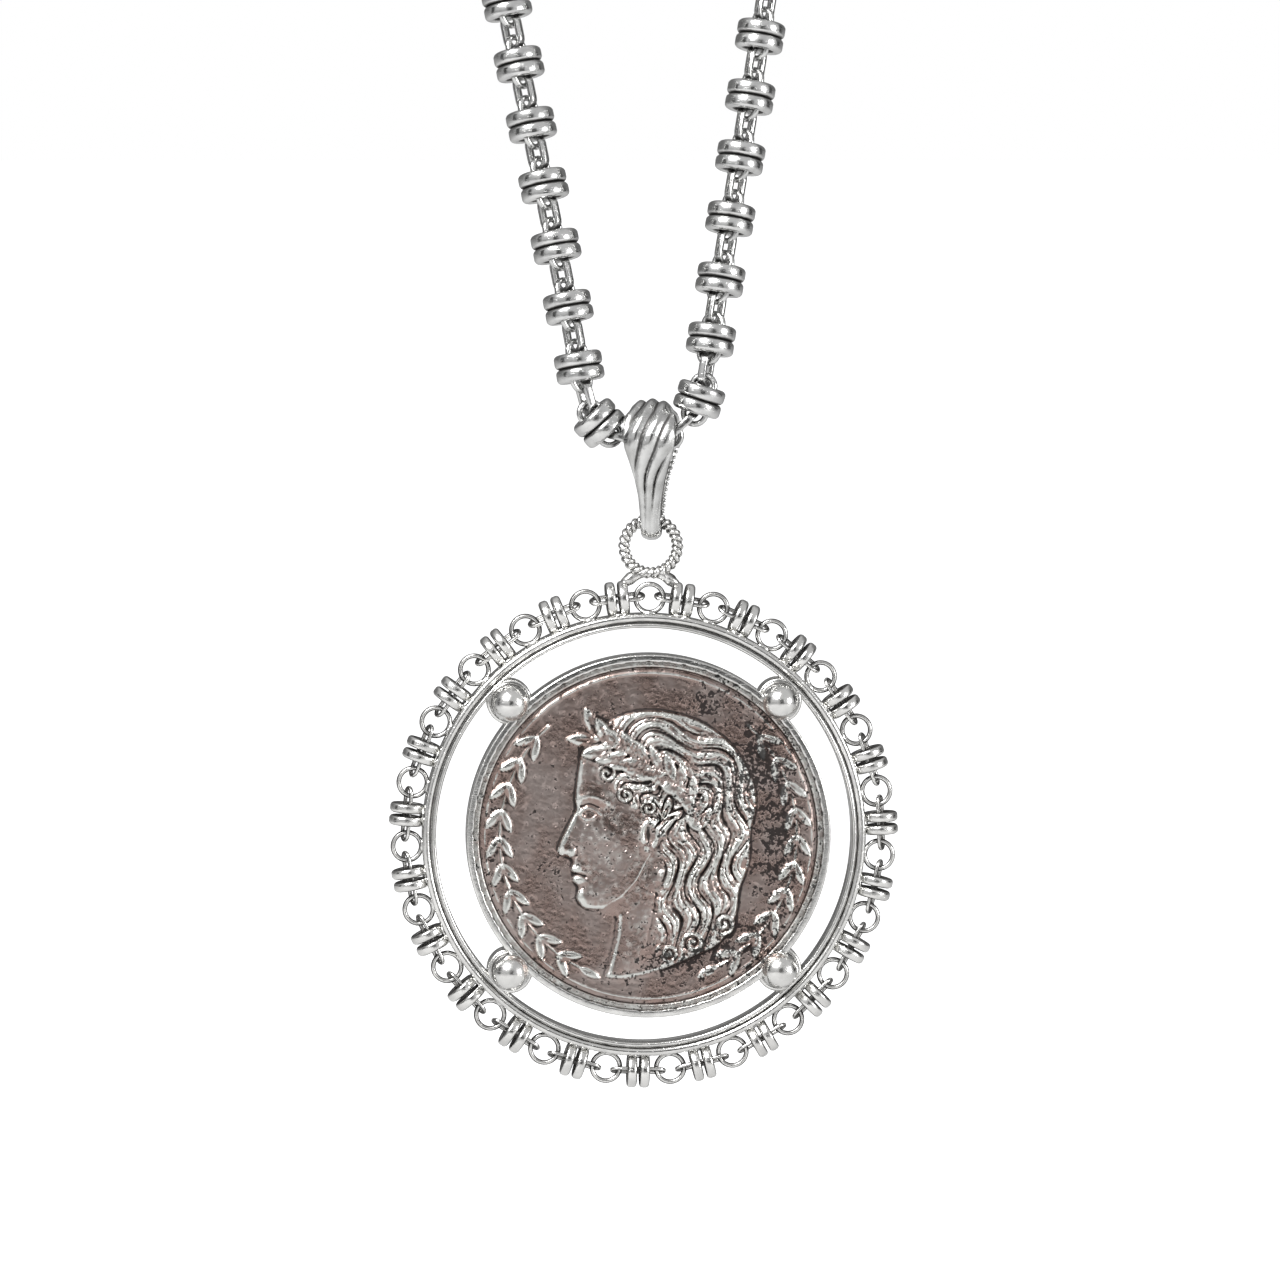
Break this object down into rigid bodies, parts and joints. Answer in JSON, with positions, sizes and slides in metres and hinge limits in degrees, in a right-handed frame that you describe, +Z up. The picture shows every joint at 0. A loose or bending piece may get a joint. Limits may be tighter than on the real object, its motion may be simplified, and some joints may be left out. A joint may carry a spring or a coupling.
{
  "type": "coin pendant on a neck chain",
  "caption": "Round coin in a bezel with ball prongs, in a beaded open frame, hung by a twisted ring and a fluted bail on a neck chain of barrels and oval links.",
  "frame": {"origin": "where the clasp rests on the nape of the neck", "axes": "X to the wearer's left seen from the front as right, Y to the back, Z up; the medallion faces -Y"},
  "size_m": [0.0756, 0.065, 0.2324],
  "materials": {
    "chain_silver": "polished silver, grey in the recesses",
    "clasp_silver": "polished silver",
    "bail_silver": "polished silver",
    "frame_silver": "polished silver, dark in the grooves",
    "coin_steel": "worn steel with dark pitting"
  },
  "bodies": {
    "necklace": {"chain_left": "chain_silver", "chain_right": "chain_silver", "clasp": "clasp_silver"},
    "bail": {"bail": "bail_silver"},
    "medallion": {"pendant_frame": "frame_silver", "border_links": "frame_silver", "coin": "coin_steel"}
  },
  "joints": [
    {"name": "bail_swing", "type": "hinge", "parent": "necklace", "child": "bail", "pos_m": [-0.0005, -0.05896, -0.17659], "axis": [1, 0, 0], "range_deg": [-20, 20]},
    {"name": "drop_swing", "type": "hinge", "parent": "bail", "child": "medallion", "pos_m": [-0.0005, -0.05896, -0.18285], "axis": [1, 0, 0], "range_deg": [-60, 60]}
  ]
}
